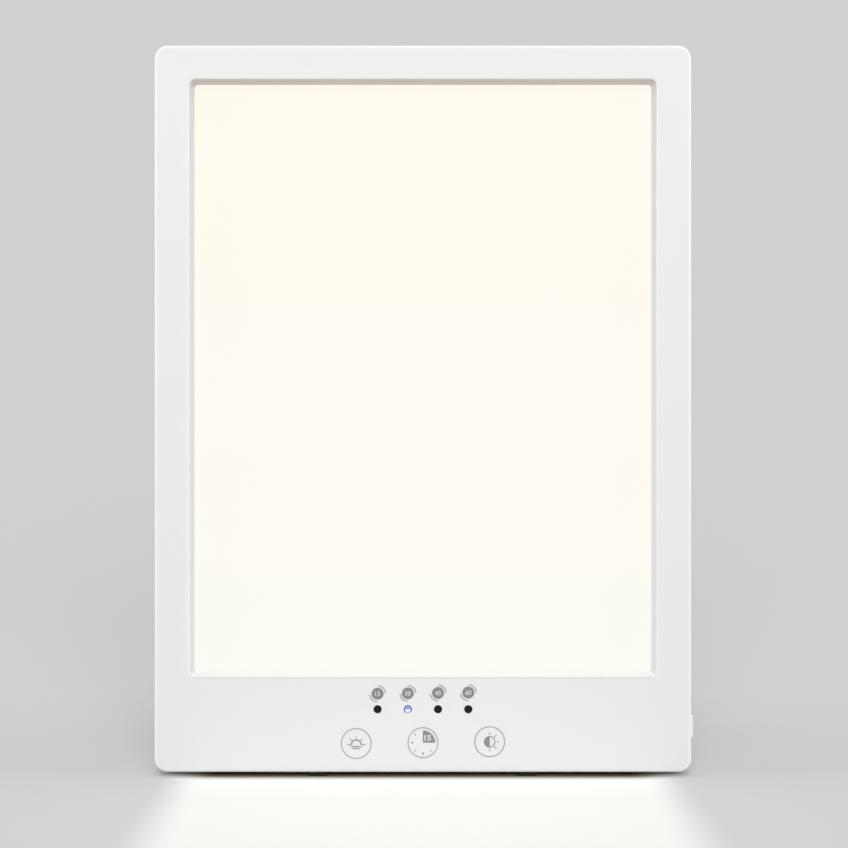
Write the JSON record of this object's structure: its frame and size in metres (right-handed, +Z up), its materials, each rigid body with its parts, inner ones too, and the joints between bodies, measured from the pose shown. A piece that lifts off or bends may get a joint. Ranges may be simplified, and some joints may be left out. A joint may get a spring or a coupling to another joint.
{
  "type": "light therapy lamp",
  "caption": "Slim upright light panel with a recessed glowing window, touch controls and indicator lenses in its chin, a side push button and a fold-out rear leg.",
  "frame": {"origin": "on the floor, under the middle of the standing lamp: halfway across its width, and halfway from the front edge of the chin to the rear of the leg's foot", "axes": "+X to the right as seen from the front, +Y towards the rear, +Z up. The glowing front faces -Y and is leaned back 10 degrees"},
  "size_m": [0.221, 0.0856, 0.2953],
  "materials": {
    "front_shell": "satin white moulding",
    "rear_shell": "fine-textured white moulding",
    "leg_plastic": "fine-textured white moulding",
    "button_plastic": "satin light grey moulding",
    "diffuser": "opal, lit from behind",
    "guide_acrylic": "clear, polished edges",
    "reflector_film": "white film",
    "tray_metal": "plain mill finish",
    "white_board": "white solder mask",
    "green_board": "green solder mask",
    "lamp_package": "phosphor yellow",
    "dark_plastic": "black moulding",
    "pale_connector": "natural nylon",
    "smoked_lens": "smoked, glossy",
    "lit_lens": "smoked, lit blue",
    "clear_lamp": "clear epoxy",
    "soft_pad": "conductive foam",
    "foot_rubber": "soft, matt",
    "screw_steel": "zinc plated",
    "pin_steel": "ground",
    "contact_metal": "nickel plated",
    "winding": "wound core in a dark coat",
    "can_metal": "printed sleeve left bare",
    "lead_sleeve": "wire insulation"
  },
  "bodies": {
    "lamp": {"front_housing": "front_shell", "rear_cover": "rear_shell", "diffuser_plate": "diffuser", "light_guide_plate": "guide_acrylic", "reflector_sheet": "reflector_film", "backing_tray": "tray_metal", "led_board_left": "white_board", "led_board_right": "white_board", "led_chips_left": "lamp_package", "led_chips_right": "lamp_package", "control_board": "green_board", "touch_pads": "soft_pad", "indicator_leds": "clear_lamp", "indicator_light_shield": "dark_plastic", "indicator_lens_1": "smoked_lens", "indicator_lens_2": "lit_lens", "indicator_lens_3": "smoked_lens", "indicator_lens_4": "smoked_lens", "touch_chip": "dark_plastic", "control_connectors": "pale_connector", "switch_body": "dark_plastic", "switch_board": "green_board", "driver_board": "green_board", "driver_inductor": "winding", "driver_capacitors": "can_metal", "driver_chip": "dark_plastic", "driver_connectors": "pale_connector", "dc_jack": "dark_plastic", "jack_pin": "contact_metal", "led_lead_left": "lead_sleeve", "led_lead_right": "lead_sleeve", "control_lead": "lead_sleeve", "switch_lead": "lead_sleeve", "stand_hinge_pin": "pin_steel", "case_screws": "screw_steel", "tray_screws": "screw_steel", "control_board_screws": "screw_steel", "driver_board_screws": "screw_steel", "switch_board_screws": "screw_steel", "base_feet": "foot_rubber"},
    "leg": {"stand_leg": "leg_plastic", "stand_foot_pad": "foot_rubber"},
    "button": {"power_button": "button_plastic", "switch_plunger": "dark_plastic"}
  },
  "joints": [
    {"name": "stand_hinge", "type": "hinge", "parent": "lamp", "child": "leg", "pos_m": [0, 0.00825, 0.18185], "axis": [-1, 0, 0], "range_deg": [0, 20]},
    {"name": "power_button_press", "type": "slide", "parent": "lamp", "child": "button", "axis": [-1, 0, 0], "range_m": [0, 0.0007], "stiffness_N_per_m": 2500, "springref_m": -0.0003}
  ]
}
